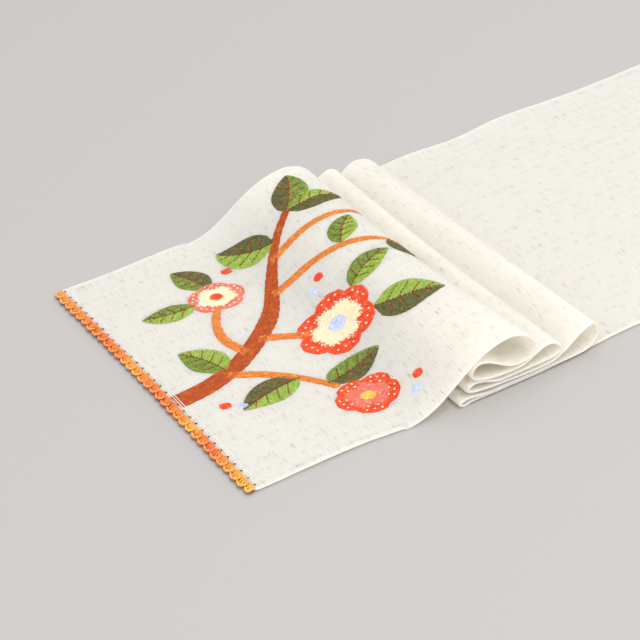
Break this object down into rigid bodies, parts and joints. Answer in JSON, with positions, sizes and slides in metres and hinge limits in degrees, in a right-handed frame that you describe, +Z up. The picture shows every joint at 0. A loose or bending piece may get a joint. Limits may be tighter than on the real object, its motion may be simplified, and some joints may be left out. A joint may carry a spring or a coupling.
{
  "type": "folded embroidered table runner",
  "caption": "Folded linen-cotton table runner with an embroidered end lying flat, open folds behind it and a long level tail, crochet edging at both short hems.",
  "frame": {"origin": "middle of the footprint, on the surface it lies on", "axes": "+X along the runner from its embroidered end to its far end, +Y across it towards its back edge, +Z up"},
  "size_m": [0.8708, 0.3362, 0.0387],
  "materials": {
    "linen": "matte slub linen-cotton plain weave",
    "edging_yarn": "matte variegated crochet cotton",
    "embroidery_thread": "satin stitched thread with a soft sheen"
  },
  "bodies": {
    "root": {"runner_cloth": "linen", "edging_start": "edging_yarn", "edging_end": "edging_yarn"}
  },
  "joints": []
}
